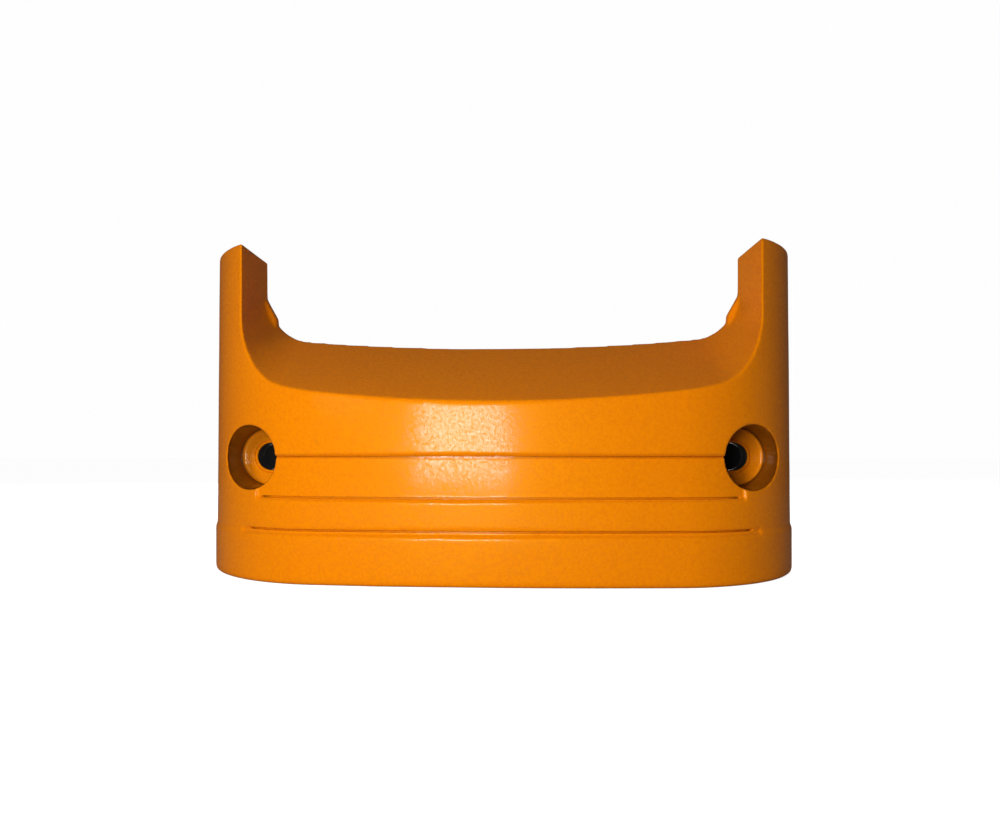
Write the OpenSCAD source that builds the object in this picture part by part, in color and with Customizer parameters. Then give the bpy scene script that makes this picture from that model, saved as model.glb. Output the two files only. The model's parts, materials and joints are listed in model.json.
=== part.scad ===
// Bolt-on rear counterweight of a micro excavator: one heavy iron casting and the small
// pieces it carries. The rear face looks towards -Y and the mounting face lies in Y = 0.
// The origin is midway between the two bolt axes on the mounting face. +Z is up.

/* [Overall] */
// Width over the sides at the back of the casting
overall_w = 700; // [640:1:780]
// Height from the base to the tops of the horns
overall_h = 375; // [350:1:430]
// Depth from the middle of the rear face to the mounting pads
overall_d = 142; // [130:1:165]
// Height of the two bolt axes above the base
axis_h = 136; // [120:1:150]

/* [Rear face] */
// Radius of the rear face, seen from above
face_r = 2280; // [1600:10:4000]
// Radius of the two rear corners, seen from above
corner_r = 175; // [150:1:210]
// Height of the lower band above the base
band_h = 54; // [40:1:58]
// How far the lower band stands proud of the body
band_step = 1.4; // [0.5:0.1:4]
// Width of the cast grooves
groove_w = 3.5; // [2:0.5:6]
// Depth of the cast grooves below the face they are cut in
groove_d = 4; // [2:0.5:8]
// Drop from the bolt axes to the upper groove
upper_groove_drop = 1.5; // [0:0.5:6]
// Height of the recessed panel between the upper and the middle groove
panel_h = 40.5; // [30:0.5:46]
// How far the panel is recessed
panel_step = 4; // [0.5:0.1:6]
// Half width of the recessed panel and of the lower grooves
panel_half_w = 268; // [220:1:272]

/* [Saddle between the horns] */
// Width between the horns
saddle_w = 571; // [500:1:590]
// Height of the saddle above the bolt axes, at the middle of the rear face
saddle_z = 58.5; // [50:0.5:80]
// Slope of the saddle, rising towards the machine
saddle_slope = 28; // [15:1:32]
// Radius of the dished saddle floor
dish_r = 3230; // [2500:10:5000]
// Radius between the saddle floor and each horn
horn_fillet_r = 54; // [30:1:70]
// Width of the web in each back corner of the saddle
corner_web_w = 14; // [8:1:20]
// Thickness of that web
corner_web_t = 12; // [8:1:20]

/* [Mounting bolts] */
// Distance between the two bolt axes
bolt_spacing = 550; // [500:1:580]
// Diameter of the counterbores
counterbore_d = 70; // [60:1:80]
// Thickness of iron left under the bolt head
bolt_land_t = 26; // [20:1:40]
// Clearance hole for an M30 bolt
bolt_hole_d = 33; // [26:1:36]
// Outer diameter of the steel sleeve in each bolt hole
sleeve_od = 40; // [37:1:46]
// How far each sleeve stays behind the mounting pad and the counterbore floor
sleeve_setback = 0.5; // [0:0.1:2]

/* [Mounting face] */
// Height of the machined pads above the cast back face
pad_h = 4; // [2:0.5:8]
// Width of each mounting pad
pad_w = 80; // [70:1:100]
// Lowest point of the pads above the base
pad_base_gap = 16; // [8:1:30]
// Top of the pads above the bolt axes
pad_top = 75; // [60:1:85]
// Depth of the cored pockets
pocket_d = 30; // [10:1:45]
// Width of the rib between the two pockets
rib_w = 30; // [20:1:60]
// Gap between a pocket and the pad beside it
pocket_pad_gap = 28; // [15:1:50]
// Height of the pockets above the base
pocket_base_gap = 32; // [20:1:50]
// Corner radius of the pockets
pocket_corner_r = 18; // [8:1:30]

/* [Dowels] */
// Diameter of the locating spigot of each dowel
dowel_d = 20; // [12:1:22]
// Diameter of the seat of each dowel inside the casting
dowel_seat_d = 25; // [23:1:30]
// Length of a dowel inside the casting
dowel_seat = 30; // [20:1:40]
// Length of a dowel in front of the pads
dowel_reach = 16; // [10:1:25]
// Height of the dowel axes above the base
dowel_base_gap = 42; // [34:1:60]
// Chamfer at the tip of a dowel
dowel_chamfer = 2; // [1:0.5:4]

/* [Lifting inserts] */
// Outer diameter of the threaded inserts in the horn tops
insert_od = 32; // [28:1:36]
// Length of an insert
insert_l = 38; // [30:1:45]
// Minor diameter of its M20 thread
insert_thread_d = 17.3; // [13.8:0.1:17.4]
// Depth of the thread
insert_thread_l = 32; // [25:1:36]
// Distance of the insert axes from the back face of the casting
insert_back_gap = 34; // [26:1:38]

/* [Bonnet seal and buffers] */
// Gap between the saddle edge and the seal
seal_gap = 4; // [2:1:8]
// Width of the seal bulb
bulb_w = 10; // [6:1:14]
// Height of the seal bulb above the back face
bulb_h = 14; // [8:1:18]
// Width of the seal flange under its retainer
flange_w = 15; // [12:1:20]
// Thickness of the seal flange
flange_t = 2; // [1:0.5:3]
// Thickness of the steel retainer
retainer_t = 2; // [1:0.5:3]
// Play between the seal bulb and the retainer
retainer_gap = 2; // [1:0.5:4]
// Rise of the seal ends above the back edge of the saddle
seal_rise = 40; // [30:1:44]
// Shank diameter of the seal rivets
rivet_d = 4.8; // [3.2:0.1:6.4]
// Grip of a rivet inside the casting
rivet_grip = 10; // [6:1:16]
// Number of rivets along the saddle floor
rivet_count = 9; // [5:2:13]
// Diameter of the rubber bonnet buffers
buffer_d = 28; // [20:1:32]
// Height of a buffer above the back face
buffer_h = 16; // [10:1:24]
// Gap between the seal ends and the buffers above them
buffer_gap = 5; // [3:1:12]
// Diameter of the buffer studs
stud_d = 8; // [6:1:10]
// Length of a buffer stud inside the casting
stud_seat = 12; // [8:1:14]
// Thickness of the steel disc bonded under a buffer
disc_t = 2; // [1:0.5:3]

/* [Hidden] */
$fn = 96;
arc_fn = 240;
over = 1;
blend_step = 1;

base_z = -axis_h;
top_z = overall_h - axis_h;
back_y = -pad_h;
cast_d = overall_d - pad_h;

// Corner arc in plan: it touches the rear face from inside and passes through the back corner.
corner_dx = overall_w / 2;
corner_dy = cast_d - face_r;
corner_dist = norm([corner_dx, corner_dy]);
inner_r = face_r - corner_r;
along = (inner_r * inner_r - corner_r * corner_r + corner_dist * corner_dist) / (2 * corner_dist);
aside = sqrt(inner_r * inner_r - along * along);
corner_cx = (along * corner_dx + aside * corner_dy) / corner_dist;
corner_cy = face_r + (along * corner_dy - aside * corner_dx) / corner_dist;

panel_top = -upper_groove_drop;
panel_base = panel_top - panel_h;
band_top = base_z + band_h;
bolt_x = bolt_spacing / 2;
bolt_floor_y = -bolt_land_t;

saddle_half = saddle_w / 2;
saddle_back_z = saddle_z + cast_d * tan(saddle_slope);
seal_top = saddle_back_z + seal_rise;
buffer_z = seal_top + buffer_gap + buffer_d / 2;
upright_dish_r = dish_r * cos(saddle_slope);
upright_fillet_r = horn_fillet_r / cos(saddle_slope);

pad_base = base_z + pad_base_gap;
pocket_half = bolt_x - pad_w / 2 - pocket_pad_gap;
pocket_w = pocket_half - rib_w / 2;
pocket_base = base_z + pocket_base_gap;
pocket_h = pad_top - pocket_base;
dowel_z = base_z + dowel_base_gap;

// The lifting inserts stand in the middle of the horn tops.
horn_outer_x = corner_cx + sqrt(pow(corner_r, 2) - pow(corner_cy - (cast_d - insert_back_gap), 2));
insert_x = (saddle_half + horn_outer_x) / 2;
buffer_x = insert_x;

flange_in = seal_gap + bulb_w;
retainer_in = flange_in + retainer_gap;
seal_out = flange_in + flange_w;
rivet_in = (retainer_in + seal_out) / 2;
rivet_pitch = 2 * (saddle_half - upright_fillet_r) / (rivet_count - 1);
rivet_head_d = 2 * rivet_d;
rivet_head_h = 0.4 * rivet_d;

// Cylinder along Y between two places.
module rod_y(d, y0, y1) {
    translate([0, y1, 0]) rotate([90, 0, 0]) cylinder(d = d, h = y1 - y0);
}

// The same shape on both sides of the middle.
module both_sides() {
    children();
    mirror([1, 0, 0]) children();
}

// Outline of one long arc that runs into a tighter arc at each side, up to a straight edge.
// The long arc ends blend_step before the point where the two touch, so they cross cleanly.
module blended_arcs(long_centre, long_r, corner_centre, tight_r, top) {
    blend_x = long_r * corner_centre.x / (long_r - tight_r) - blend_step;
    intersection() {
        translate([0, long_centre]) circle(r = long_r, $fn = arc_fn);
        translate([-blend_x, -long_r]) square([2 * blend_x, top + long_r]);
    }
    both_sides() intersection() {
        translate(corner_centre) circle(r = tight_r, $fn = arc_fn);
        translate([0, -long_r]) square([long_r, top + long_r]);
    }
}

// Plan outline of the casting, drawn from the middle of the rear face.
module plan_outline(inset) {
    blended_arcs(face_r, face_r - inset, [corner_cx, corner_cy], corner_r - inset, cast_d);
}

module plan_solid(inset, z0, z1) {
    translate([0, -overall_d, z0]) linear_extrude(z1 - z0) plan_outline(inset);
}

// Open U outline: a dished floor that rounds into two upright walls.
module saddle_outline(half, floor_r, fillet_r, top) {
    centre_x = half - fillet_r;
    centre_z = floor_r - sqrt(pow(floor_r - fillet_r, 2) - pow(centre_x, 2));
    blended_arcs(floor_r, floor_r, [centre_x, centre_z], fillet_r, top);
    translate([-half, centre_z]) square([2 * half, top - centre_z]);
}

module saddle_cut() {
    reach = 2 * overall_h;
    translate([0, -overall_d, saddle_z]) rotate([saddle_slope, 0, 0])
        translate([0, reach, 0]) rotate([90, 0, 0]) linear_extrude(2 * reach)
            saddle_outline(saddle_half, dish_r, horn_fillet_r, reach);
}

// Strip that follows the back edge of the saddle, between two distances from it.
module edge_strip(gap_in, gap_out, y0, y1) {
    intersection() {
        translate([0, y1, saddle_back_z]) rotate([90, 0, 0]) linear_extrude(y1 - y0) difference() {
            translate([0, -gap_out]) saddle_outline(
                saddle_half + gap_out, upright_dish_r + gap_out, upright_fillet_r + gap_out, overall_h);
            translate([0, -gap_in]) saddle_outline(
                saddle_half + gap_in, upright_dish_r + gap_in, upright_fillet_r + gap_in, 2 * overall_h);
        }
        translate([-overall_w, y0, base_z]) cube([2 * overall_w, y1 - y0, seal_top - base_z]);
    }
}

// Web in the back corner of the saddle: a short slope on the horn and an upright end.
module corner_web() {
    slope_h = 1.8 * corner_web_w;
    low_z = saddle_back_z;
    translate([0, back_y, 0]) rotate([90, 0, 0]) linear_extrude(corner_web_t) polygon([
        [saddle_half + over, low_z],
        [saddle_half + over, low_z + upright_fillet_r + over * 1.8],
        [saddle_half, low_z + upright_fillet_r],
        [saddle_half - corner_web_w, low_z + upright_fillet_r - slope_h],
        [saddle_half - corner_web_w, low_z]
    ]);
}

module cast_groove(z_mid, half, face_inset) {
    intersection() {
        difference() {
            plan_solid(-over, z_mid - groove_w / 2, z_mid + groove_w / 2);
            plan_solid(face_inset + groove_d, z_mid - groove_w, z_mid + groove_w);
        }
        translate([-half, -overall_d - over, z_mid - groove_w]) cube([2 * half, overall_d, 2 * groove_w]);
    }
}

module recessed_panel() {
    intersection() {
        difference() {
            plan_solid(-over, panel_base, panel_top);
            plan_solid(band_step + panel_step, panel_base - over, panel_top + over);
        }
        translate([-panel_half_w, -overall_d - over, panel_base])
            cube([2 * panel_half_w, overall_d, panel_h]);
    }
}

module rounded_slab(w, h, r, y0, y1) {
    translate([0, y1, 0]) rotate([90, 0, 0]) linear_extrude(y1 - y0) {
        translate([r, 0]) square([w - 2 * r, h]);
        translate([0, r]) square([w, h - 2 * r]);
        for (x = [r, w - r], z = [r, h - r]) translate([x, z]) circle(r = r);
    }
}

module rivet_places() {
    for (i = [0 : rivet_count - 1]) {
        x = (i - (rivet_count - 1) / 2) * rivet_pitch;
        floor_r = upright_dish_r + rivet_in;
        translate([x, back_y, saddle_back_z + upright_dish_r - sqrt(floor_r * floor_r - x * x)]) children();
    }
}

module casting_solid() {
    plan_solid(band_step, base_z, top_z);
    plan_solid(0, base_z, band_top);
    both_sides() translate([bolt_x - pad_w / 2, back_y - over, pad_base])
        cube([pad_w, pad_h + over, pad_top - pad_base]);
}

module counterweight_casting() {
    color("orange") difference() {
        union() {
            difference() {
                casting_solid();
                saddle_cut();
            }
            both_sides() corner_web();
        }
        cast_groove(panel_top, bolt_x, band_step);
        cast_groove(panel_base, panel_half_w, band_step);
        cast_groove(band_top + groove_w / 2, panel_half_w, band_step);
        recessed_panel();
        both_sides() translate([bolt_x, 0, 0]) {
            rod_y(counterbore_d, -overall_d, bolt_floor_y);
            rod_y(sleeve_od, bolt_floor_y - over, over);
        }
        both_sides() translate([rib_w / 2, 0, pocket_base])
            rounded_slab(pocket_w, pocket_h, pocket_corner_r, back_y - pocket_d, back_y + over);
        both_sides() translate([bolt_x, 0, dowel_z]) rod_y(dowel_seat_d, -dowel_seat, over);
        both_sides() translate([insert_x, back_y - insert_back_gap, top_z - insert_l])
            cylinder(d = insert_od, h = insert_l + over);
        both_sides() translate([buffer_x, 0, buffer_z]) rod_y(stud_d, back_y - stud_seat, back_y + over);
        rivet_places() rod_y(rivet_d, -rivet_grip, over);
    }
}

module bolt_sleeve() {
    translate([bolt_x, 0, 0]) difference() {
        rod_y(sleeve_od, bolt_floor_y + sleeve_setback, -sleeve_setback);
        rod_y(bolt_hole_d, bolt_floor_y - over, over);
    }
}

module locating_dowel() {
    translate([bolt_x, 0, dowel_z]) {
        rod_y(dowel_seat_d, -dowel_seat, 0);
        rod_y(dowel_d, 0, dowel_reach - dowel_chamfer);
        translate([0, dowel_reach - dowel_chamfer, 0]) rotate([-90, 0, 0])
            cylinder(d1 = dowel_d, d2 = dowel_d - 2 * dowel_chamfer, h = dowel_chamfer);
    }
}

module lifting_insert() {
    translate([insert_x, back_y - insert_back_gap, top_z - insert_l]) difference() {
        cylinder(d = insert_od, h = insert_l);
        translate([0, 0, insert_l - insert_thread_l])
            cylinder(d = insert_thread_d, h = insert_thread_l + over);
    }
}

module bonnet_seal() {
    color([0.08, 0.08, 0.08]) difference() {
        union() {
            edge_strip(seal_gap, flange_in, back_y, back_y + bulb_h);
            edge_strip(flange_in - over, seal_out, back_y, back_y + flange_t);
        }
        rivet_places() rod_y(rivet_d, -over, flange_t + over);
    }
}

module seal_retainer() {
    color("silver") difference() {
        edge_strip(retainer_in, seal_out, back_y + flange_t, back_y + flange_t + retainer_t);
        rivet_places() rod_y(rivet_d, 0, flange_t + retainer_t + over);
    }
}

module seal_rivets() {
    stack = flange_t + retainer_t;
    color("gainsboro") rivet_places() {
        rod_y(rivet_d, -rivet_grip, stack);
        rod_y(rivet_head_d, stack, stack + rivet_head_h);
    }
}

module buffer_rubber() {
    translate([buffer_x, 0, buffer_z]) rod_y(buffer_d, back_y + disc_t, back_y + buffer_h);
}

module buffer_stud() {
    translate([buffer_x, 0, buffer_z]) {
        rod_y(stud_d, back_y - stud_seat, back_y + disc_t);
        rod_y(buffer_d, back_y, back_y + disc_t);
    }
}

counterweight_casting();
color("gray") mirror([1, 0, 0]) bolt_sleeve();  // bolt_sleeve_left
color("gray") bolt_sleeve();  // bolt_sleeve_right
color("silver") mirror([1, 0, 0]) locating_dowel();  // locating_dowel_left
color("silver") locating_dowel();  // locating_dowel_right
color("silver") mirror([1, 0, 0]) lifting_insert();  // lifting_insert_left
color("silver") lifting_insert();  // lifting_insert_right
bonnet_seal();
seal_retainer();
seal_rivets();
color("black") mirror([1, 0, 0]) buffer_rubber();  // buffer_rubber_left
color("black") buffer_rubber();  // buffer_rubber_right
color("gray") mirror([1, 0, 0]) buffer_stud();  // buffer_stud_left
color("gray") buffer_stud();  // buffer_stud_right
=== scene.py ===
# %% [markdown]
# # A bolt-on rear counterweight
# The real object is one heavy iron casting that hangs on the back of a small excavator, with a
# few small steel and rubber pieces on it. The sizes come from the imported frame, so each piece is
# made where the frame says it is. Everything is in metres: the rear face looks towards -Y, the
# machine stands at +Y, and Z is up.

# %% Load the frame
import math
import json

import bpy
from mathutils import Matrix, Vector


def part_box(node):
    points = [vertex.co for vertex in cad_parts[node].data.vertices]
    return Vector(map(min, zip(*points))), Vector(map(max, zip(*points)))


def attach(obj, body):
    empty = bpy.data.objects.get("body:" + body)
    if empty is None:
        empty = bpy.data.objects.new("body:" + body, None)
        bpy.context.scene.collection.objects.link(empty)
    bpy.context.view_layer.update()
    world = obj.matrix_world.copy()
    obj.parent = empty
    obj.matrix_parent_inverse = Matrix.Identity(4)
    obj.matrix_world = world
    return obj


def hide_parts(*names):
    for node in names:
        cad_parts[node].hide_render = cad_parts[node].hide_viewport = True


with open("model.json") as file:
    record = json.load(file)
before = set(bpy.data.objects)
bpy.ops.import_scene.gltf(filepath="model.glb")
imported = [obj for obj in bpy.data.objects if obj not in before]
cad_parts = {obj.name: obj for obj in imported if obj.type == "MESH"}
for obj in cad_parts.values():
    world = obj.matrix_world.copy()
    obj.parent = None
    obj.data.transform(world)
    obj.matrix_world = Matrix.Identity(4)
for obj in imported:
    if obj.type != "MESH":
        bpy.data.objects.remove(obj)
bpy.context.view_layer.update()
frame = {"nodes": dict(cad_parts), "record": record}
print("frame nodes:", sorted(frame["nodes"]))

# %% Places read from the frame
MM = 0.001
mounts = {m["name"]: m for m in frame["record"]["mounts"]}
cast_low, cast_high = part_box("counterweight_casting")
seal_low, seal_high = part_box("bonnet_seal")
half_w = cast_high.x
base_z = cast_low.z
top_z = cast_high.z
front_y = cast_low.y
pad_y = cast_high.y
bolt_x = mounts["mounting_bolts"]["dims"]["spacing_x_mm"] * MM / 2
back_y = seal_low.y
spans = (2 * half_w, back_y - front_y, top_z - base_z)
print("casting spans", [round(v / MM, 1) for v in spans], "mm")

# %% [markdown]
# ## The camera
# The view is from straight behind the machine, at the height of the bolts, a little to the right
# and close by. The camera stays level, and a small shift lifts the picture instead of a tilt, so
# that the upright edges stay upright.

# %% Camera
camera_data = bpy.data.cameras.new("camera")
camera_data.sensor_width = 36.0
camera_data.lens = 27.0
camera_data.shift_x = 0.019
camera_data.shift_y = 0.034
camera = bpy.data.objects.new("camera", camera_data)
bpy.context.scene.collection.objects.link(camera)
camera.location = (0.018, -0.9188, 0.0125)
camera.rotation_euler = (math.radians(90.0), 0.0, math.radians(2.53))
bpy.context.scene.camera = camera
turned_left = round(math.degrees(camera.rotation_euler.z), 2)
print("camera lens", camera_data.lens, "mm, turned", turned_left, "degrees to the left")

# %% [markdown]
# ## Helpers for modelling by hand
# Each step acts on what is selected. So a few small helpers clear the selection, pick faces or
# edges by a test on their place, and finish a mesh.

# %% Selecting
def select_only(*objects):
    """Makes these objects the selection, with the first one active."""
    if bpy.context.mode != "OBJECT":
        bpy.ops.object.mode_set(mode="OBJECT")
    bpy.ops.object.select_all(action="DESELECT")
    for obj in objects:
        obj.select_set(True)
    bpy.context.view_layer.objects.active = objects[0]


def pick(obj, kind, test):
    """In edit mode, selects the vertices, edges or polygons whose middle passes the test."""
    modes = {"vertices": "VERT", "edges": "EDGE", "polygons": "FACE"}
    bpy.ops.mesh.select_mode(type=modes[kind])
    bpy.ops.mesh.select_all(action="DESELECT")
    bpy.ops.object.mode_set(mode="OBJECT")
    mesh = obj.data
    count = 0
    for item in getattr(mesh, kind):
        if kind == "vertices":
            middle = item.co
        elif kind == "edges":
            start, end = item.vertices
            middle = (mesh.vertices[start].co + mesh.vertices[end].co) / 2
        else:
            middle = item.center
        item.select = bool(test(middle, item))
        count += item.select
    bpy.ops.object.mode_set(mode="EDIT")
    return count


def apply_modifier(obj, kind, **settings):
    """Adds one modifier and applies it at once."""
    select_only(obj)
    modifier = obj.modifiers.new(kind.lower(), kind)
    for key, value in settings.items():
        setattr(modifier, key, value)
    bpy.ops.object.modifier_apply(modifier=modifier.name)


def settle(obj):
    """Puts the object's place into its mesh."""
    select_only(obj)
    bpy.ops.object.transform_apply(location=True, rotation=True, scale=True)


def count(obj):
    """Number of triangles that the mesh comes to."""
    return sum(len(p.vertices) - 2 for p in obj.data.polygons)


# %% Drawing an outline with one travelling vertex
START_SIZE = 0.01
CLIP = 0.00005


def start_chain(name, place):
    """A new mesh with one vertex, left selected in edit mode: a plane merged to its centre."""
    if bpy.context.mode != "OBJECT":
        bpy.ops.object.mode_set(mode="OBJECT")
    bpy.ops.object.select_all(action="DESELECT")
    bpy.ops.mesh.primitive_plane_add(size=START_SIZE, location=(0, 0, 0))
    obj = bpy.context.object
    obj.name = name
    bpy.ops.object.mode_set(mode="EDIT")
    bpy.ops.mesh.select_mode(type="VERT")
    bpy.ops.mesh.select_all(action="SELECT")
    bpy.ops.mesh.merge(type="CENTER")
    bpy.ops.transform.translate(value=place)
    return obj


def line(x=0.0, y=0.0, z=0.0):
    """Extrudes the selected vertex along a straight step."""
    bpy.ops.mesh.extrude_region_move(TRANSFORM_OT_translate={"value": (x, y, z)})


def arc(centre, axis, degrees, steps):
    """Spins the selection, counterclockwise about the axis."""
    bpy.ops.mesh.spin(steps=steps, angle=-math.radians(degrees), center=centre, axis=axis)


def close_and_extrude(obj, step, mirrored=True):
    """Mirrors the drawn half, fills the outline and pulls it out into a closed solid."""
    bpy.ops.object.mode_set(mode="OBJECT")
    if mirrored:
        apply_modifier(obj, "MIRROR", use_clip=True, merge_threshold=CLIP)
    select_only(obj)
    bpy.ops.object.mode_set(mode="EDIT")
    bpy.ops.mesh.select_all(action="SELECT")
    bpy.ops.mesh.remove_doubles(threshold=0.00002)
    bpy.ops.mesh.edge_face_add()
    bpy.ops.mesh.select_all(action="SELECT")
    bpy.ops.mesh.extrude_region_move(TRANSFORM_OT_translate={"value": step})
    bpy.ops.mesh.select_all(action="SELECT")
    bpy.ops.mesh.normals_make_consistent(inside=False)
    bpy.ops.object.mode_set(mode="OBJECT")
    return obj


def combine(body, tool, operation):
    """Joins the tool to the body, or cuts it out of it, and throws the tool away."""
    apply_modifier(body, "BOOLEAN", object=tool, operation=operation, solver="EXACT")
    select_only(tool)
    bpy.ops.object.delete()


def rod_y(x, z, radius, y0, y1, vertices=96):
    """A plain cylinder along Y, used as a cutter."""
    bpy.ops.object.select_all(action="DESELECT")
    bpy.ops.mesh.primitive_cylinder_add(vertices=vertices, radius=radius, depth=y1 - y0,
                                        location=(x, (y0 + y1) / 2, z),
                                        rotation=(math.radians(90), 0, 0))
    settle(bpy.context.object)
    return bpy.context.object


def block(low, high):
    """A plain box between two corners, used as a cutter or as a start."""
    bpy.ops.object.select_all(action="DESELECT")
    middle = [(a + b) / 2 for a, b in zip(low, high)]
    spread = [b - a for a, b in zip(low, high)]
    bpy.ops.mesh.primitive_cube_add(size=1.0, location=middle, scale=spread)
    settle(bpy.context.object)
    return bpy.context.object


# %% [markdown]
# ## The casting
# The real casting is poured iron in a sand mould. Its rear face is one long arc that runs into a
# tighter arc at each side. All its edges are soft, the faces are a little uneven, and the paint
# follows every bump. A sharp model with a bevel on each edge would look machined. So the solid is
# drawn sharp, remeshed into an even skin and smoothed, which rounds every edge as the sand does.
# Its sides lean in a little towards the top, so that the pattern can leave the mould. This draft
# is made by narrowing the upper outline before anything is cut.

# %% The plan curve
FACE_R = 2280 * MM
CORNER_R = 175 * MM
BAND_H = 54 * MM
BAND_STEP = 1.4 * MM
DRAFT = 0.991
TINY = 0.1 * MM


def plan_angles(inset):
    """Radii, corner centre and turning angles of the outline seen from above."""
    long_r, tight_r = FACE_R, CORNER_R
    corner_x, corner_y = half_w, back_y - front_y
    reach = math.hypot(corner_x, corner_y - long_r)
    inner = long_r - tight_r
    along = (inner ** 2 - tight_r ** 2 + reach ** 2) / (2 * reach)
    aside = math.sqrt(inner ** 2 - along ** 2)
    cx = (along * corner_x + aside * (corner_y - long_r)) / reach
    cy = long_r + (along * (corner_y - long_r) - aside * corner_x) / reach
    long_turn = math.degrees(math.atan2(cx, long_r - cy))
    end = math.sqrt((tight_r - inset) ** 2 - (cy - corner_y) ** 2)
    tight_turn = math.degrees(math.atan2(end, cy - corner_y)) - long_turn
    return cx, cy, long_turn, tight_turn


def plan_block(name, inset, z0, z1):
    """The outline, drawn a little inside the rear face, pulled up from z0 to z1."""
    cx, cy, long_turn, tight_turn = plan_angles(inset)
    obj = start_chain(name, (0, front_y + inset, z0))
    arc((0, front_y + FACE_R, z0), (0, 0, 1), long_turn, 16)
    arc((cx, front_y + cy, z0), (0, 0, 1), tight_turn, 28)
    end = math.sqrt((CORNER_R - inset) ** 2 - (cy - (back_y - front_y)) ** 2)
    line(x=-(cx + end))
    return close_and_extrude(obj, (0, 0, z1 - z0))


casting = plan_block("casting", BAND_STEP, base_z, top_z)
select_only(casting)
bpy.ops.object.mode_set(mode="EDIT")
pick(casting, "vertices", lambda c, v: c.z > top_z - TINY)
bpy.ops.transform.resize(value=(DRAFT, 1, 1), center_override=(0, 0, top_z))
bpy.ops.object.mode_set(mode="OBJECT")
band = plan_block("band", 0.0, base_z, base_z + BAND_H)
for obj in (casting, band):
    low = [min(v.co[i] for v in obj.data.vertices) / MM for i in range(3)]
    high = [max(v.co[i] for v in obj.data.vertices) / MM for i in range(3)]
    print(obj.name, [round(v, 2) for v in low], [round(v, 2) for v in high])

# %% Round the lower edges and join the band to the body
BASE_BEVEL = 5 * MM
for obj in (casting, band):
    select_only(obj)
    bpy.ops.object.mode_set(mode="EDIT")
    pick(obj, "edges", lambda c, e: c.z < base_z + TINY and c.y < back_y - 1 * MM)
    bpy.ops.mesh.bevel(offset=BASE_BEVEL, segments=4, affect="EDGES")
    bpy.ops.object.mode_set(mode="OBJECT")
combine(casting, band, "UNION")

# %% [markdown]
# ## The saddle
# The engine bonnet comes down between two upright horns. The floor between them slopes down
# towards the rear and is slightly dished, with a wide radius into each horn. One long cutter has
# that outline. It is drawn flat, pulled out along Y and then tipped to the slope of the floor.

# %% Cut the saddle
SADDLE_HALF = 285.5 * MM
SADDLE_Z = 58.5 * MM
SLOPE = math.radians(28)
DISH_R = 3230 * MM
FILLET_R = 54 * MM
CUTTER_RISE = 400 * MM
CUTTER_LENGTH = 1.2


def saddle_outline(name, half, dish_r, fillet_r, rise):
    """The dished outline with upright ends, closed well above the horns."""
    centre_x = half - fillet_r
    turn = math.degrees(math.asin(centre_x / (dish_r - fillet_r)))
    centre_z = dish_r - math.sqrt((dish_r - fillet_r) ** 2 - centre_x ** 2)
    obj = start_chain(name, (0, 0, 0))
    arc((0, 0, dish_r), (0, -1, 0), turn, 14)
    arc((centre_x, 0, centre_z), (0, -1, 0), 90 - turn, 14)
    line(z=rise)
    line(x=-half)
    return obj


cutter = saddle_outline("saddle cutter", SADDLE_HALF, DISH_R, FILLET_R, CUTTER_RISE)
close_and_extrude(cutter, (0, CUTTER_LENGTH, 0))
half_long = CUTTER_LENGTH / 2
cutter.location = (0, front_y - half_long * math.cos(SLOPE),
                   SADDLE_Z - half_long * math.sin(SLOPE))
cutter.rotation_euler = (SLOPE, 0, 0)
settle(cutter)
combine(casting, cutter, "DIFFERENCE")
saddle_back_z = SADDLE_Z + (back_y - front_y) * math.tan(SLOPE)
print("saddle rises from", round(SADDLE_Z / MM, 1), "to", round(saddle_back_z / MM, 1), "mm")

# %% [markdown]
# ## Webs, pockets and counterbores
# A small web fills each back corner of the saddle. The machine's side has two cored pockets that
# bring the weight down to what the machine needs. Two wide counterbores hide the bolt heads.

# %% Corner webs
UPRIGHT_FILLET = FILLET_R / math.cos(SLOPE)
WEB_ROOT = 4 * MM
WEB_THICK = 12 * MM
# Each row: step towards the middle, step upwards.
WEB_STEPS = ((0, UPRIGHT_FILLET + 10 * MM), (4 * MM, -6 * MM), (14 * MM, -25 * MM),
             (0, -(UPRIGHT_FILLET - 21 * MM)))
for side in (-1, 1):
    start = (side * (SADDLE_HALF + WEB_ROOT), back_y, saddle_back_z - WEB_ROOT)
    web = start_chain("web", start)
    for inwards, up in WEB_STEPS:
        line(x=-side * inwards, z=up)
    close_and_extrude(web, (0, -WEB_THICK, 0), mirrored=False)
    combine(casting, web, "UNION")
print("with webs:", count(casting), "triangles")

# %% Pockets in the machine's side
POCKET_LOW = (15 * MM, back_y - 30 * MM, base_z + 32 * MM)
POCKET_HIGH = (207 * MM, back_y + 10 * MM, 75 * MM)
POCKET_R = 18 * MM
wall_y = (POCKET_LOW[1] + POCKET_HIGH[1]) / 2
for side in (-1, 1):
    pocket = block(POCKET_LOW, POCKET_HIGH)
    pocket.scale = (side, 1, 1)
    settle(pocket)
    bpy.ops.object.mode_set(mode="EDIT")
    bpy.ops.mesh.select_all(action="SELECT")
    bpy.ops.mesh.normals_make_consistent(inside=False)
    pick(pocket, "edges", lambda c, e: abs(c.y - wall_y) < 1 * MM)
    bpy.ops.mesh.bevel(offset=POCKET_R, segments=6, affect="EDGES")
    bpy.ops.object.mode_set(mode="OBJECT")
    combine(casting, pocket, "DIFFERENCE")
print("with pockets:", count(casting), "triangles")

# %% Counterbores
COUNTERBORE_R = 35 * MM
LAND = 26 * MM
CLEAR = 50 * MM
for side in (-1, 1):
    bore = rod_y(side * bolt_x, 0, COUNTERBORE_R, front_y - CLEAR, -LAND)
    combine(casting, bore, "DIFFERENCE")
print("cut solid:", count(casting), "triangles")

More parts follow.
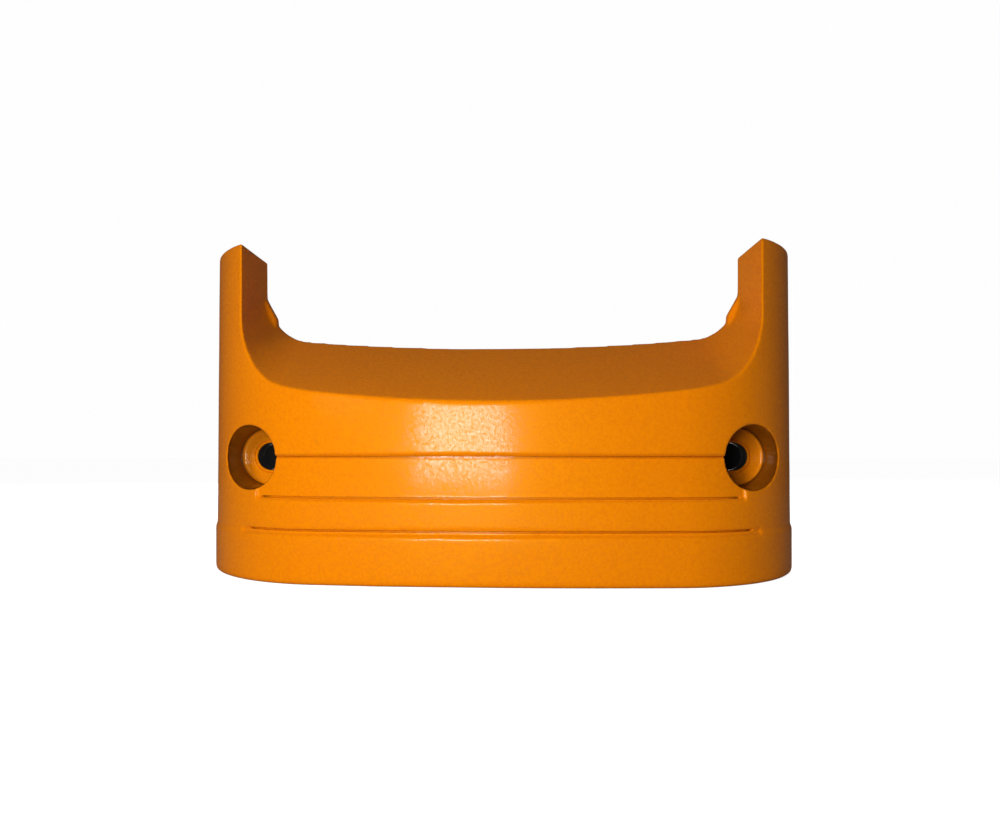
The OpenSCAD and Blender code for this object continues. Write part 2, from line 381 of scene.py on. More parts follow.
# %% [markdown]
# ## Rings
# The lines and the panel follow the curve of the rear face, and their ends slope out to it. So
# each cutter is a block in front of the face with slanted ends, less the outline of the body drawn
# smaller by the depth of the cut. What is left of the block is a ring of even depth.

# %% The soft line above the band
IN_FRONT = 75 * MM
BEHIND = 12 * MM
LINE_HALF = 285 * MM
LINE_H = 6 * MM
LINE_DEPTH = 2.6 * MM


def slanted_block(name, half, z0, z1):
    """A block in front of the casting whose two ends slope inwards at 45 degrees."""
    cx, cy, _, _ = plan_angles(0.0)
    face = front_y + cy - math.sqrt(CORNER_R ** 2 - (half - cx) ** 2)
    obj = start_chain(name, (0, face - IN_FRONT, z0))
    line(x=half + IN_FRONT)
    line(x=-(IN_FRONT + BEHIND), y=IN_FRONT + BEHIND)
    line(x=-(half - BEHIND))
    return close_and_extrude(obj, (0, 0, z1 - z0))


def cut_ring(body, name, half, z0, z1, depth):
    """Cuts a slanted block out of the body, no deeper than depth behind the rear face."""
    ring = slanted_block(name, half, z0, z1)
    combine(ring, plan_block("core", BAND_STEP + depth, base_z, top_z), "DIFFERENCE")
    combine(body, ring, "DIFFERENCE")


band_top = base_z + BAND_H
cut_ring(casting, "line cutter", LINE_HALF, band_top, band_top + LINE_H, LINE_DEPTH)

# %% [markdown]
# ## Skin
# The voxel remesh lays one even skin of small faces over all that was joined and cut. A few rounds
# of smoothing then soften every edge by about the same radius, as sand and thick paint do.

# %% An even skin, then soft edges
def reskin(obj, size):
    """Voxel remesh: one even skin over everything that was joined."""
    obj.data.remesh_voxel_size = size
    obj.data.use_remesh_preserve_volume = False
    select_only(obj)
    bpy.ops.object.voxel_remesh()


FIRST_SKIN = 1.6 * MM
FIRST_ROUNDS = 8
reskin(casting, FIRST_SKIN)
apply_modifier(casting, "SMOOTH", factor=0.5, iterations=FIRST_ROUNDS)
print("first skin:", count(casting), "triangles")

# %% [markdown]
# ## The cast lines
# The rear face has a shallow panel between two thin lines, and a third line above the lower band.
# The panel is cut by a ring that follows the plan curve. Its upper and lower edges slant, because
# a pattern must be able to leave the sand. A bevel on the pieces around the panel gives that slant.
# The lines themselves are cut last, as thin deep grooves, because a skin of small faces would
# blur them.

# %% Cut the panel
PANEL_TOP = 0.5 * MM
PANEL_BASE = -42.5 * MM
PANEL_HALF = 266 * MM
PANEL_STEP = 4 * MM
SLICE = 30 * MM


def bevelled_block(name, z0, z1, edge_z):
    """A slice of the body, with its lower or upper front edge bevelled by the panel depth."""
    obj = plan_block(name, BAND_STEP, z0, z1)
    select_only(obj)
    bpy.ops.object.mode_set(mode="EDIT")
    pick(obj, "edges", lambda c, e: abs(c.z - edge_z) < TINY and c.y < back_y - 1 * MM)
    bpy.ops.mesh.bevel(offset=PANEL_STEP, segments=1, affect="EDGES")
    bpy.ops.object.mode_set(mode="OBJECT")
    return obj


low_z, high_z = PANEL_BASE - PANEL_STEP, PANEL_TOP + PANEL_STEP
panel = slanted_block("panel cutter", PANEL_HALF, low_z, high_z)
combine(panel, plan_block("core", BAND_STEP + PANEL_STEP, base_z, top_z), "DIFFERENCE")
combine(panel, bevelled_block("above", PANEL_TOP, PANEL_TOP + SLICE, PANEL_TOP), "DIFFERENCE")
combine(panel, bevelled_block("below", PANEL_BASE - SLICE, PANEL_BASE, PANEL_BASE), "DIFFERENCE")
combine(casting, panel, "DIFFERENCE")
print("with the panel:", count(casting), "triangles")

# %% [markdown]
# ## The second skin
# A finer remesh and a lighter smoothing keep the slanted edges of the panel and only take off
# their sharpness. A cloud texture then shifts the surface by a fraction of a millimetre, because a
# cast face is never flat. Most of that shift is inwards, so the casting stays inside its box.
# Decimate thins the skin where it is nearly flat.

# %% Fine skin, light smoothing, slight unevenness
SECOND_SKIN = 1.3 * MM
WAVE_LENGTH = 0.07
WAVE_HEIGHT = 0.5 * MM
WAVE_MIDDLE = 0.8
MOST_TRIANGLES = 170000
reskin(casting, SECOND_SKIN)
apply_modifier(casting, "SMOOTH", factor=0.5, iterations=3)
waves = bpy.data.textures.new("mould waves", "CLOUDS")
waves.noise_scale = WAVE_LENGTH
waves.noise_depth = 1
apply_modifier(casting, "DISPLACE", texture=waves, texture_coords="LOCAL",
               strength=WAVE_HEIGHT, mid_level=WAVE_MIDDLE)
before = count(casting)
apply_modifier(casting, "DECIMATE", ratio=min(1.0, MOST_TRIANGLES / before))
print("casting skin:", before, "->", count(casting), "triangles")

# %% Thin sharp lines along both edges of the panel and above the band
# Each row: lower edge, height, depth and half length.
THIN_LINES = ((PANEL_TOP - 1.2 * MM, 2.6 * MM, 8 * MM, bolt_x),
              (PANEL_BASE - 1.0 * MM, 2.4 * MM, 7.5 * MM, 262 * MM),
              (band_top + 3.6 * MM, 2.4 * MM, 7 * MM, 276 * MM))
for z, height, depth, half in THIN_LINES:
    cut_ring(casting, "thin line", half, z, z + height, depth)
print("with thin lines:", count(casting), "triangles")

# %% [markdown]
# ## Machined places
# A few places are machined after casting: the counterbores, the mounting pads, the bolt holes and
# the seats of the small pieces. They have crisp edges, so they are cut last, after all the
# smoothing. The counterbores were cut once before, so that their rims got soft. Here a light
# second cut only cleans their walls, and stops short of the floor.

# %% Pads and bored seats
SIDES = ((-1, "left"), (1, "right"))
CLEAN_R = COUNTERBORE_R + 0.1 * MM
CLEAN_END = -LAND - 1.5 * MM
PAD_HALF = 40 * MM
PAD_FOOT = 16 * MM
PAD_TOP = 75 * MM
PAD_ROOT = 3 * MM
PAD_BEVEL = 0.8 * MM
SLEEVE_SEAT_Y = -30 * MM
SEAT_END = 20 * MM
SEAT_R = {"bolt_sleeve": 20 * MM, "locating_dowel": 12.5 * MM, "buffer_stud": 4 * MM}
INSERT_SEAT_R = 16 * MM
SEAT_LONG = 60 * MM
for side, word in SIDES:
    clean = rod_y(side * bolt_x, 0, CLEAN_R, front_y - CLEAR, CLEAN_END)
    combine(casting, clean, "DIFFERENCE")
    pad = block((side * bolt_x - PAD_HALF, back_y - PAD_ROOT, base_z + PAD_FOOT),
                (side * bolt_x + PAD_HALF, pad_y, PAD_TOP))
    select_only(pad)
    bpy.ops.object.mode_set(mode="EDIT")
    pick(pad, "edges", lambda c, e: c.y > pad_y - TINY)
    bpy.ops.mesh.bevel(offset=PAD_BEVEL, segments=2, affect="EDGES")
    bpy.ops.object.mode_set(mode="OBJECT")
    combine(casting, pad, "UNION")
    for node, radius in SEAT_R.items():
        low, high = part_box(node + "_" + word)
        middle = (low + high) / 2
        start = SLEEVE_SEAT_Y if node == "bolt_sleeve" else low.y
        combine(casting, rod_y(middle.x, middle.z, radius, start, SEAT_END), "DIFFERENCE")
    low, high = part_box("lifting_insert_" + word)
    middle = (low + high) / 2
    bpy.ops.object.select_all(action="DESELECT")
    bpy.ops.mesh.primitive_cylinder_add(vertices=96, radius=INSERT_SEAT_R, depth=SEAT_LONG,
                                        location=(middle.x, middle.y, low.z + SEAT_LONG / 2))
    settle(bpy.context.object)
    combine(casting, bpy.context.object, "DIFFERENCE")
CAST_SMOOTH = math.radians(38)
select_only(casting)
bpy.ops.object.shade_smooth_by_angle(angle=CAST_SMOOTH)
print("casting finished:", count(casting), "triangles")

# %% [markdown]
# ## Turned pieces
# The bolt sleeves, dowels, lifting inserts, rivets, buffers and their studs are all round. Each is
# drawn as half a section, one vertex at a time, and spun about its axis, as on a lathe. Small
# chamfers in the section catch the light as real turned edges do.

# %% The lathe
TURNED_SMOOTH = math.radians(35)


def turned(name, section, place, turn, closed=False, steps=64):
    """Spins a section of (radius, height) points about Z, tips it over and puts it in place."""
    obj = start_chain(name, (section[0][0], 0, section[0][1]))
    points = section + section[:1] if closed else section
    for (r0, h0), (r1, h1) in zip(points, points[1:]):
        line(x=r1 - r0, z=h1 - h0)
    bpy.ops.mesh.select_all(action="SELECT")
    arc((0, 0, 0), (0, 0, 1), 360, steps)
    bpy.ops.mesh.select_all(action="SELECT")
    bpy.ops.mesh.remove_doubles(threshold=0.000002)
    bpy.ops.mesh.normals_make_consistent(inside=False)
    bpy.ops.object.mode_set(mode="OBJECT")
    obj.rotation_euler = turn
    obj.location = place
    settle(obj)
    select_only(obj)
    bpy.ops.object.shade_smooth_by_angle(angle=TURNED_SMOOTH)
    return obj


def scaled(points):
    """Turns a section drawn in millimetres into metres."""
    return [(r * MM, h * MM) for r, h in points]


ALONG_Y = (math.radians(-90), 0, 0)
UPRIGHT = (0, 0, 0)
pieces = {}

# %% Sleeves, dowels and inserts
# Each section is a list of (radius, height) in millimetres.
SLEEVE = scaled([(16.5, 1), (17.5, 0), (19, 0), (20, 1),
                 (20, 24), (19, 25), (17.5, 25), (16.5, 24)])
DOWEL = scaled([(0, 0), (11.5, 0), (12.5, 1), (12.5, 29.7), (12.2, 30), (10, 30), (9.8, 30.4),
                (10, 30.8), (10, 43.6), (9.7, 44.2), (8, 46), (7.5, 46), (2, 46), (0, 44.8)])
THREAD_TURNS = 12
THREAD_PITCH = 2.5
thread = []
for turn in range(THREAD_TURNS):
    top = 32 - THREAD_PITCH * turn
    thread += [(8.65, top - 0.9), (8.65, top - 1.2), (9.95, top - 2.2), (9.95, top - 2.4)]
INSERT = scaled([(0, 0), (15, 0), (16, 1), (16, 37.4), (15.4, 38), (10.6, 38)]
                + [(r, h + 5) for r, h in thread[:-4]] + [(8.65, 6.5), (8.65, 6), (0, 6)])
for _, word in SIDES:
    low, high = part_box("bolt_sleeve_" + word)
    at = ((low.x + high.x) / 2, low.y, 0)
    pieces["bolt_sleeve_" + word] = turned("sleeve_" + word, SLEEVE, at, ALONG_Y, closed=True)
    low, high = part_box("locating_dowel_" + word)
    at = ((low.x + high.x) / 2, low.y, (low.z + high.z) / 2)
    pieces["locating_dowel_" + word] = turned("dowel_" + word, DOWEL, at, ALONG_Y)
    low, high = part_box("lifting_insert_" + word)
    at = ((low.x + high.x) / 2, (low.y + high.y) / 2, low.z)
    pieces["lifting_insert_" + word] = turned("insert_" + word, INSERT, at, UPRIGHT)

# %% Buffers on their studs
RUBBER = scaled([(0, 0), (13.5, 0), (14, 0.6), (13.5, 3.5), (13.3, 6.5), (13.7, 9.5), (13.2, 11.8),
                 (11.8, 13.3), (9.5, 14), (4.5, 14), (3.6, 13.4), (3.2, 12.2), (0, 12)])
STUD_PITCH = 1.25
STUD = [(0, 0), (3, 0), (3.4, 0.6)]
for turn in range(8):
    start = turn * STUD_PITCH
    STUD += [(3.4, 1 + start), (4, 1.5 + start), (4, 1.7 + start)]
STUD = scaled(STUD + [(3.4, 11.6), (3.4, 12), (13.6, 12), (14, 12.4), (14, 14), (0, 14)])
for _, word in SIDES:
    low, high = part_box("buffer_rubber_" + word)
    at = ((low.x + high.x) / 2, low.y, (low.z + high.z) / 2)
    pieces["buffer_rubber_" + word] = turned("buffer_" + word, RUBBER, at, ALONG_Y)
    low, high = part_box("buffer_stud_" + word)
    at = ((low.x + high.x) / 2, low.y, (low.z + high.z) / 2)
    pieces["buffer_stud_" + word] = turned("stud_" + word, STUD, at, ALONG_Y)

# %% Rivets
RIVET = scaled([(0, 0), (2, 0), (2.4, 0.4), (2.4, 14), (4.8, 14), (4.8, 14.5), (4.3, 15.2),
                (3.2, 15.75), (1.6, 15.92), (1.3, 15.9), (1.2, 15.2), (0, 15.2)])
rivets_low, rivets_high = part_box("seal_rivets")
HEAD_R = 4.8 * MM
RIVETS = 9
STRIP_IN, STRIP_OUT = 16, 29
reach = rivets_high.x - HEAD_R
DISH_BACK = DISH_R * math.cos(SLOPE)
rivet_r = DISH_BACK + (STRIP_IN + STRIP_OUT) / 2 * MM
rivets = []
for i in range(RIVETS):
    x = (2 * i / (RIVETS - 1) - 1) * reach
    z = saddle_back_z + DISH_BACK - math.sqrt(rivet_r ** 2 - x ** 2)
    rivets.append(turned("rivet", RIVET, (x, rivets_low.y, z), ALONG_Y, steps=32))
select_only(*rivets)
bpy.ops.object.join()
pieces["seal_rivets"] = bpy.context.object
pieces["seal_rivets"].name = "rivets"
print("turned pieces:", {name: count(piece) for name, piece in pieces.items()})

# %% [markdown]
# ## The bonnet seal
# A rubber bulb seal follows the back edge of the saddle, so that the bonnet closes on rubber. A
# thin steel strip clamps its flange. Both have one constant section that is swept round the same
# two arcs as the saddle, and cut level at the ends.

# %% Sweep the sections
SWEEP_TURN = 88


def edge_sweep(name, section):
    """Sweeps a closed section of (distance from the edge, height off the back) round the saddle."""
    points = [(d * MM, back_y + h * MM) for d, h in section]
    obj = start_chain(name, (0, points[0][1], saddle_back_z - points[0][0]))
    for (d0, h0), (d1, h1) in zip(points, points[1:] + points[:1]):
        line(y=h1 - h0, z=d0 - d1)
    bpy.ops.mesh.select_all(action="SELECT")
    bpy.ops.mesh.remove_doubles(threshold=0.00001)
    centre_x = SADDLE_HALF - UPRIGHT_FILLET
    inner = DISH_BACK - UPRIGHT_FILLET
    turn = math.degrees(math.asin(centre_x / inner))
    dish_z = saddle_back_z + DISH_BACK
    bpy.ops.mesh.select_all(action="SELECT")
    arc((0, 0, dish_z), (0, -1, 0), turn, 24)
    centre_z = dish_z - math.sqrt(inner ** 2 - centre_x ** 2)
    arc((centre_x, 0, centre_z), (0, -1, 0), SWEEP_TURN - turn, 24)
    bpy.ops.mesh.select_all(action="SELECT")
    bpy.ops.mesh.bisect(plane_co=(0, 0, seal_high.z), plane_no=(0, 0, 1),
                        use_fill=True, clear_outer=True)
    bpy.ops.object.mode_set(mode="OBJECT")
    apply_modifier(obj, "MIRROR", use_clip=True, merge_threshold=CLIP)
    select_only(obj)
    bpy.ops.object.mode_set(mode="EDIT")
    bpy.ops.mesh.select_all(action="SELECT")
    bpy.ops.mesh.remove_doubles(threshold=0.00001)
    bpy.ops.mesh.normals_make_consistent(inside=False)
    bpy.ops.object.mode_set(mode="OBJECT")
    bpy.ops.object.shade_smooth_by_angle(angle=TURNED_SMOOTH)
    low = [round(min(v.co[i] for v in obj.data.vertices) / MM, 1) for i in range(3)]
    high = [round(max(v.co[i] for v in obj.data.vertices) / MM, 1) for i in range(3)]
    print(name, count(obj), "triangles", low, high)
    return obj


SEAL = [(29, 0), (29, 1.7), (28.7, 2), (15, 2), (14.2, 2.6), (14, 3.6), (14, 9), (13.3, 11.6),
        (11.6, 13.4), (9, 14), (6.4, 13.4), (4.7, 11.6), (4, 9), (4, 3), (4.4, 0.6), (5, 0)]
STRIP = [(STRIP_OUT, 2), (STRIP_OUT, 3.7), (28.7, 4), (16.3, 4), (STRIP_IN, 3.7), (STRIP_IN, 2)]
pieces["bonnet_seal"] = edge_sweep("seal", SEAL)
pieces["seal_retainer"] = edge_sweep("retainer", STRIP)

# %% Each piece stands for its node
for node, piece in pieces.items():
    piece.name = node + "_piece"
    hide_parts(node)
    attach(piece, "root")
casting.name = "casting_piece"
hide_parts("counterweight_casting")
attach(casting, "root")
pieces["counterweight_casting"] = casting
slots = {part["node"]: part["material_slot"] for part in frame["record"]["subparts"]}

# %% [markdown]
# ## Finishes
# Effects that several finishes share are node groups: one gives a fine grain and a slow mottling,
# the other gives a mask of painted shade for hollows and a mask for scuffed patches. Each material
# sets its own scales and strengths. All of them read Object coordinates, so that the pattern sits
# on the metal and goes where it goes.

# %% Helpers for groups and materials
def new_group(name, inputs, outputs):
    """A shader node group with float inputs {name: default} and float outputs [names]."""
    group = bpy.data.node_groups.new(name, "ShaderNodeTree")
    for key, value in inputs.items():
        socket = group.interface.new_socket(name=key, in_out="INPUT", socket_type="NodeSocketFloat")
        socket.default_value = value
    for key in outputs:
        group.interface.new_socket(name=key, in_out="OUTPUT", socket_type="NodeSocketFloat")
    return group, group.nodes.new("NodeGroupInput"), group.nodes.new("NodeGroupOutput")


def add(tree, kind, **settings):
    """A node with settings; a key that is not a property of the node is one of its sockets."""
    node = tree.nodes.new("ShaderNode" + kind)
    for key, value in settings.items():
        if hasattr(node, key):
            setattr(node, key, value)
        else:
            node.inputs[key.replace("_", " ")].default_value = value
    return node


def math_node(tree, operation, a, b, clamp=False):
    """A Math node; a and b are sockets or plain numbers."""
    node = tree.nodes.new("ShaderNodeMath")
    node.operation = operation
    node.use_clamp = clamp
    for socket, value in ((node.inputs[0], a), (node.inputs[1], b)):
        if isinstance(value, (int, float)):
            socket.default_value = value
        else:
            tree.links.new(value, socket)
    return node.outputs[0]


def soft_mask(tree, high, low, steepness):
    """Rises from 0 to 1 as high passes low; the steeper, the sharper the edge."""
    gap = math_node(tree, "SUBTRACT", high, low)
    return math_node(tree, "MULTIPLY", gap, steepness, clamp=True)


# %% Group: grain
grain, g_in, g_out = new_group("grain", {"Fine": 900.0, "Coarse": 220.0, "Balance": 0.5},
                               ["Height", "Mottle"])
coords = add(grain, "TexCoord").outputs["Object"]
fine = add(grain, "TexNoise", Detail=3.0, Roughness=0.6)
coarse = add(grain, "TexNoise", Detail=2.0, Roughness=0.5)
slow = add(grain, "TexNoise", Scale=7.0, Detail=3.0, Roughness=0.55)
for node in (fine, coarse, slow):
    grain.links.new(coords, node.inputs["Vector"])
grain.links.new(g_in.outputs["Fine"], fine.inputs["Scale"])
grain.links.new(g_in.outputs["Coarse"], coarse.inputs["Scale"])
share = math_node(grain, "MULTIPLY", fine.outputs["Fac"], g_in.outputs["Balance"])
rest = math_node(grain, "SUBTRACT", 1.0, g_in.outputs["Balance"])
rest = math_node(grain, "MULTIPLY", coarse.outputs["Fac"], rest)
grain.links.new(math_node(grain, "ADD", share, rest), g_out.inputs["Height"])
grain.links.new(slow.outputs["Fac"], g_out.inputs["Mottle"])

# %% Group: painted shade in hollows, and wear
HOLLOW_STEEP = 14.0
SCUFF_FROM = 0.66
SCUFF_STEEP = 6.0
wear, w_in, w_out = new_group("wear", {"Hollow": 0.44, "Patches": 60.0}, ["Hollows", "Scuffs"])
coords = add(wear, "TexCoord").outputs["Object"]
point = add(wear, "NewGeometry").outputs["Pointiness"]
patches = add(wear, "TexNoise", Detail=5.0, Roughness=0.65)
wear.links.new(coords, patches.inputs["Vector"])
wear.links.new(w_in.outputs["Patches"], patches.inputs["Scale"])
# A mask for painted shade: it rises where the surface is hollow, as in grooves and inner corners.
hollow_shade = soft_mask(wear, w_in.outputs["Hollow"], point, HOLLOW_STEEP)
wear.links.new(hollow_shade, w_out.inputs["Hollows"])
scuffs = soft_mask(wear, patches.outputs["Fac"], SCUFF_FROM, SCUFF_STEEP)
wear.links.new(scuffs, w_out.inputs["Scuffs"])


# %% A material with both groups in it
def new_finish(name, grain_values, wear_values):
    """Returns the material, its tree, its Principled node and the two placed groups."""
    material = bpy.data.materials.new(name)
    material.use_nodes = True
    tree = material.node_tree
    shader = tree.nodes["Principled BSDF"]
    placed = []
    for group, values in ((grain, grain_values), (wear, wear_values)):
        node = tree.nodes.new("ShaderNodeGroup")
        node.node_tree = group
        for key, value in values.items():
            node.inputs[key].default_value = value
        placed.append(node)
    return material, tree, shader, placed[0], placed[1]


def blend(tree, mask, first, second):
    """Mixes two colours by a mask; each colour is a socket or four numbers."""
    node = tree.nodes.new("ShaderNodeMix")
    node.data_type = "RGBA"
    tree.links.new(mask, node.inputs["Factor"])
    for socket, value in ((node.inputs["A"], first), (node.inputs["B"], second)):
        if isinstance(value, tuple):
            socket.default_value = value
        else:
            tree.links.new(value, socket)
    return node.outputs["Result"]


def stain(tree, tone, mask, most, colour):
    """Lays a colour over the tone where the mask is, and nowhere more than most."""
    return blend(tree, math_node(tree, "MULTIPLY", mask, most), tone, colour)


def roughen(tree, shader, source, spread, least):
    """Roughness that follows a source: least where it is 0, least + spread where it is 1."""
    value = math_node(tree, "ADD", math_node(tree, "MULTIPLY", source, spread), least)
    tree.links.new(value, shader.inputs["Roughness"])


def bump(tree, shader, height, distance, strength):
    """Leans the light on the surface as if it had this height."""
    node = add(tree, "Bump", Strength=strength, Distance=distance)
    tree.links.new(height, node.inputs["Height"])
    tree.links.new(node.outputs["Normal"], shader.inputs["Normal"])


# %% [markdown]
# ## The paint
# The finish is one thick orange coat over sand-cast iron. One even gloss would look like plastic,
# because the grain under real paint breaks the light up. So there are two layers of gloss. The
# broad one is tinted, which keeps the shine warm. The sharp one is a thin clear coat whose weight
# follows the grain, so that a bright patch looks speckled. Small darker specks follow the same
# grain. A ring of dark colour on the walls of the counterbores, in front of the floor only, is
# painted shade for the shadow inside the bores. Hollows and grooves get painted shade as well.

# %% Machinery paint: colour
ORANGE, DEEP_ORANGE = (0.93, 0.262, 0.0008, 1), (0.86, 0.225, 0.0006, 1)
SPECK, SPECK_FROM, SPECK_STEEP, SPECK_MOST = (0.78, 0.17, 0.0005, 1), 0.44, 6.0, 0.45
# Painted shade for the shadow inside the counterbores, laid on their walls between the radii below.
BORE_SHADE, BORE_SHADE_MOST = (0.14, 0.032, 0.003, 1), 0.9
WALL_INNER, WALL_OUTER, WALL_STEEP = 33.4 * MM, 36.2 * MM, 1200.0
SCUFF, SCUFF_MOST = (0.30, 0.08, 0.002, 1), 0.25
# Painted shade: a dark colour in hollows and grooves, where shade falls.
HOLLOW_SHADE, HOLLOW_SHADE_MOST = (0.16, 0.045, 0.002, 1), 0.75
paint, tree, shader, g, w = new_finish("machinery paint",
                                       {"Fine": 900.0, "Coarse": 300.0, "Balance": 0.45},
                                       {"Hollow": 0.46, "Patches": 45.0})
tone = blend(tree, g.outputs["Mottle"], ORANGE, DEEP_ORANGE)
speckle = soft_mask(tree, g.outputs["Height"], SPECK_FROM, SPECK_STEEP)
tone = stain(tree, tone, speckle, SPECK_MOST, SPECK)
split = add(tree, "SeparateXYZ")
tree.links.new(add(tree, "TexCoord").outputs["Object"], split.inputs[0])
aside = math_node(tree, "ABSOLUTE", split.outputs["X"], 0.0)
aside = math_node(tree, "SUBTRACT", aside, bolt_x)
reach = math_node(tree, "ADD", math_node(tree, "MULTIPLY", aside, aside),
                  math_node(tree, "MULTIPLY", split.outputs["Z"], split.outputs["Z"]))
reach = math_node(tree, "SQRT", reach, 0.0)
inside = soft_mask(tree, WALL_OUTER, reach, WALL_STEEP)
bore_shade = soft_mask(tree, reach, WALL_INNER, WALL_STEEP)
bore_shade = math_node(tree, "MULTIPLY", inside, bore_shade)
ahead = soft_mask(tree, -LAND, split.outputs["Y"], WALL_STEEP)
bore_shade = math_node(tree, "MULTIPLY", ahead, bore_shade)
# Painted shade on the walls of the counterbores.
tone = stain(tree, tone, bore_shade, BORE_SHADE_MOST, BORE_SHADE)
tone = stain(tree, tone, w.outputs["Scuffs"], SCUFF_MOST, SCUFF)
# Painted shade in the hollows and grooves.
tone = stain(tree, tone, w.outputs["Hollows"], HOLLOW_SHADE_MOST, HOLLOW_SHADE)
tree.links.new(tone, shader.inputs["Base Color"])

# %% Machinery paint: gloss and grain
COAT_FROM, COAT_STEEP = 0.38, 2.4
roughen(tree, shader, g.outputs["Mottle"], 0.10, 0.33)
shader.inputs["Specular IOR Level"].default_value = 0.45
shader.inputs["Specular Tint"].default_value = (1.0, 0.72, 0.05, 1)
gloss = soft_mask(tree, g.outputs["Height"], COAT_FROM, COAT_STEEP)
tree.links.new(gloss, shader.inputs["Coat Weight"])
shader.inputs["Coat Roughness"].default_value = 0.13
bump(tree, shader, g.outputs["Height"], 0.0008, 0.4)
print("paint:", len(tree.nodes), "nodes")

# %% [markdown]
# ## Steel, zinc plate and rubber
# The sleeves, dowels, inserts and studs are turned steel with a little rust, the strip and its
# rivets are zinc plated, and the seal and buffers are black rubber with a little dust. Both metals
# stay below full metallic, so that they keep some of their own colour where there is little to
# reflect.

# %% Turned steel
steel, tree, shader, g, w = new_finish("turned steel",
                                       {"Fine": 2200.0, "Coarse": 500.0, "Balance": 0.7},
                                       {"Patches": 160.0})
tone = blend(tree, g.outputs["Mottle"], (0.36, 0.34, 0.32, 1), (0.24, 0.22, 0.20, 1))
tone = blend(tree, w.outputs["Scuffs"], tone, (0.16, 0.10, 0.06, 1))
tree.links.new(tone, shader.inputs["Base Color"])
roughen(tree, shader, w.outputs["Scuffs"], 0.3, 0.3)
shader.inputs["Metallic"].default_value = 0.8
bump(tree, shader, g.outputs["Height"], 0.0001, 0.4)

# %% Zinc plate
zinc, tree, shader, g, w = new_finish("zinc plate",
                                      {"Fine": 1600.0, "Coarse": 260.0, "Balance": 0.5},
                                      {"Patches": 90.0})
tone = blend(tree, g.outputs["Mottle"], (0.68, 0.68, 0.66, 1), (0.52, 0.53, 0.54, 1))
tone = stain(tree, tone, w.outputs["Scuffs"], 0.5, (0.72, 0.72, 0.70, 1))
tree.links.new(tone, shader.inputs["Base Color"])
roughen(tree, shader, g.outputs["Height"], 0.25, 0.25)
shader.inputs["Metallic"].default_value = 0.6
bump(tree, shader, g.outputs["Height"], 0.0001, 0.3)

# %% Black rubber
rubber, tree, shader, g, w = new_finish("black rubber",
                                        {"Fine": 2600.0, "Coarse": 700.0, "Balance": 0.5},
                                        {"Patches": 120.0})
tone = blend(tree, g.outputs["Mottle"], (0.018, 0.018, 0.018, 1), (0.032, 0.031, 0.030, 1))
tone = stain(tree, tone, w.outputs["Scuffs"], 0.35, (0.11, 0.10, 0.085, 1))
tree.links.new(tone, shader.inputs["Base Color"])
roughen(tree, shader, g.outputs["Height"], 0.3, 0.5)
bump(tree, shader, g.outputs["Height"], 0.0002, 0.5)

# %% [markdown]
# ## Finishes on the pieces
# Each piece gets the finish that its slot in the frame names. The front face of each sleeve was
# painted over together with the casting, so its faces there get the paint.

# %% Place the finishes
PAINTED_DEPTH = 1.5 * MM
finishes = {"painted_casting": paint, "steel": steel, "zinc_plate": zinc, "rubber": rubber}
for node, piece in pieces.items():
    piece.data.materials.clear()
    piece.data.materials.append(finishes[slots[node]])
for _, word in SIDES:
    sleeve = pieces["bolt_sleeve_" + word]
    sleeve.data.materials.append(paint)
    face_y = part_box("bolt_sleeve_" + word)[0].y
    for polygon in sleeve.data.polygons:
        if polygon.center.y < face_y + PAINTED_DEPTH:
            polygon.material_index = 1
print("finishes:", {node: finishes[slots[node]].name for node in pieces})

# %% [markdown]
# ## Floor and light
# The floor and the surround are plain and white. They look brighter to the camera than they are as
# light, so the lamps shape the casting and not the room. The flash is a small panel beside the
# camera, and the only lamp that shows in the gloss: it makes the bright patch on the middle of
# the face. The key stands further back, to the left and higher, with a narrowed spread. It leaves
# the saddle and the right end darker. The back fill lights the machine's side and the flank lamp
# lights the right end a little. A black card stands in each bolt hole, near its machine end, as
# painted shade: a dark sheet that keeps the inside of the holes dark.

# %% Floor
FLOOR_SIZE = 14
FLOOR_GAP = 0.0002
FLOOR_GLOW = 0.89
bpy.ops.object.select_all(action="DESELECT")
bpy.ops.mesh.primitive_plane_add(size=FLOOR_SIZE, location=(0, 1.0, base_z - FLOOR_GAP))
floor = bpy.context.object
floor.name = "floor"
settle(floor)
pale = bpy.data.materials.new("pale floor")
pale.use_nodes = True
tree = pale.node_tree
shader = tree.nodes["Principled BSDF"]
shader.inputs["Roughness"].default_value = 0.9
shader.inputs["Specular IOR Level"].default_value = 0.1
seen = add(tree, "LightPath").outputs["Is Camera Ray"]
tone = blend(tree, seen, (0.25, 0.25, 0.25, 1), (0.9, 0.9, 0.9, 1))
tree.links.new(tone, shader.inputs["Base Color"])
shader.inputs["Emission Color"].default_value = (1, 1, 1, 1)
glow = math_node(tree, "MULTIPLY", seen, FLOOR_GLOW)
tree.links.new(glow, shader.inputs["Emission Strength"])
floor.data.materials.append(pale)
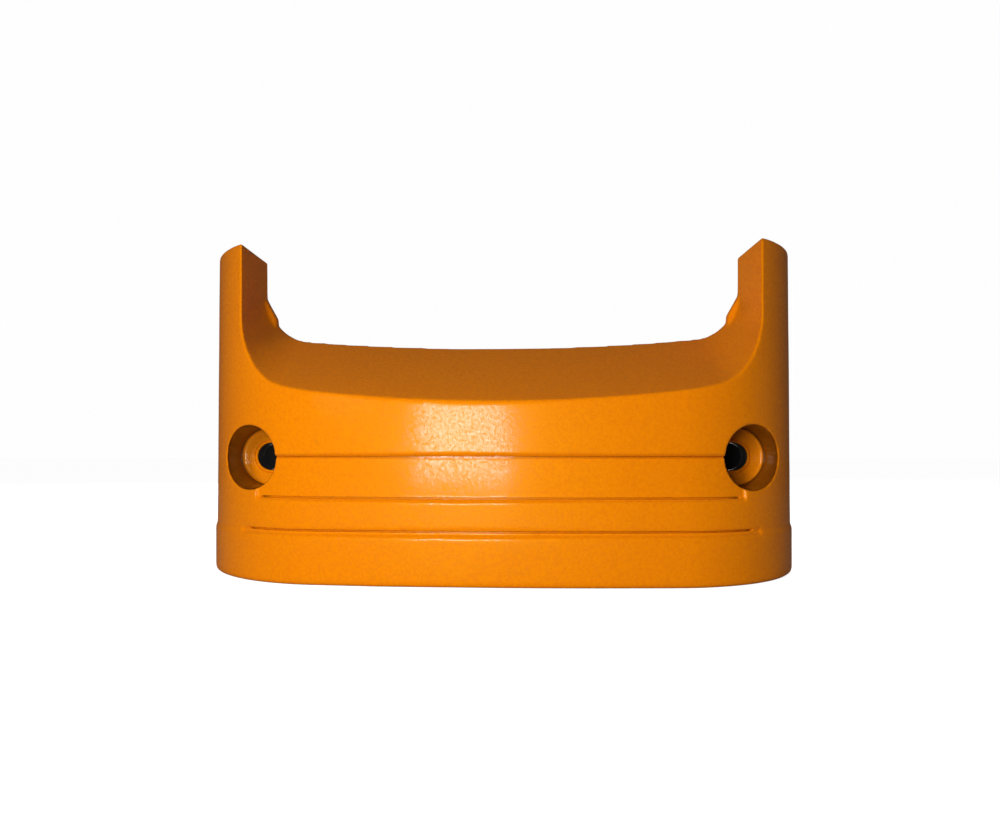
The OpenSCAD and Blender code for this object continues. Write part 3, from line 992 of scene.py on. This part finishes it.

# %% A black card in each bolt hole, as painted shade
CARD_R = 16.3 * MM
bpy.ops.object.select_all(action="DESELECT")
for side, word in SIDES:
    low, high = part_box("bolt_sleeve_" + word)
    # A dark sheet as painted shade: it keeps the inside of the hole dark.
    shade_card = rod_y(side * bolt_x, 0, CARD_R, high.y - 2 * MM, high.y - 1 * MM, vertices=48)
    shade_card.name = "card_" + word
    hole_shade = bpy.data.materials.new("black card")
    hole_shade.use_nodes = True
    shader = hole_shade.node_tree.nodes["Principled BSDF"]
    shader.inputs["Base Color"].default_value = (0.004, 0.004, 0.004, 1)
    shader.inputs["Roughness"].default_value = 1.0
    shade_card.data.materials.append(hole_shade)


# %% Lamps
def panel_light(name, place, target, width, height, watts):
    """A soft rectangular lamp that looks from its place to the target."""
    data = bpy.data.lights.new(name, "AREA")
    data.shape = "RECTANGLE"
    data.size = width
    data.size_y = height
    data.energy = watts
    light = bpy.data.objects.new(name, data)
    bpy.context.scene.collection.objects.link(light)
    light.location = place
    light.rotation_euler = (Vector(target) - Vector(place)).to_track_quat("-Z", "Y").to_euler()
    return light


panel_light("flash", (-0.116, -0.93, 0.035), (-0.037, -0.14, 0.022),
            width=0.25, height=0.18, watts=3.3)
key = panel_light("key", (-0.80, -1.78, 0.30), (0.0, -0.12, 0.08),
                  width=0.35, height=0.30, watts=6.6)
key.data.spread = math.radians(110)
fill = panel_light("back fill", (-0.42, 2.2, 0.17), (0.0, 0.0, 0.03),
                   width=1.0, height=0.45, watts=42.0)
flank = panel_light("flank", (2.1, 0.0, 0.12), (0.3, -0.03, 0.05),
                    width=0.5, height=0.3, watts=3.8)
for light in (key, fill, flank):
    light.visible_glossy = False
    print("not in the gloss:", light.name, light.data.energy, "W")

# %% Surround
AS_LIGHT = 0.10
MORE_IF_SEEN = 0.89
LESS_IN_GLOSS = 0.05
world = bpy.data.worlds.new("surround")
world.use_nodes = True
bpy.context.scene.world = world
tree = world.node_tree
ray = add(tree, "LightPath")
tree.nodes["Background"].inputs["Color"].default_value = (1, 1, 1, 1)
seen = math_node(tree, "MULTIPLY", ray.outputs["Is Camera Ray"], MORE_IF_SEEN)
strength = math_node(tree, "ADD", seen, AS_LIGHT)
gloss = math_node(tree, "MULTIPLY", ray.outputs["Is Glossy Ray"], LESS_IN_GLOSS)
strength = math_node(tree, "SUBTRACT", strength, gloss)
tree.links.new(strength, tree.nodes["Background"].inputs["Strength"])
bpy.context.scene.view_settings.view_transform = "Standard"
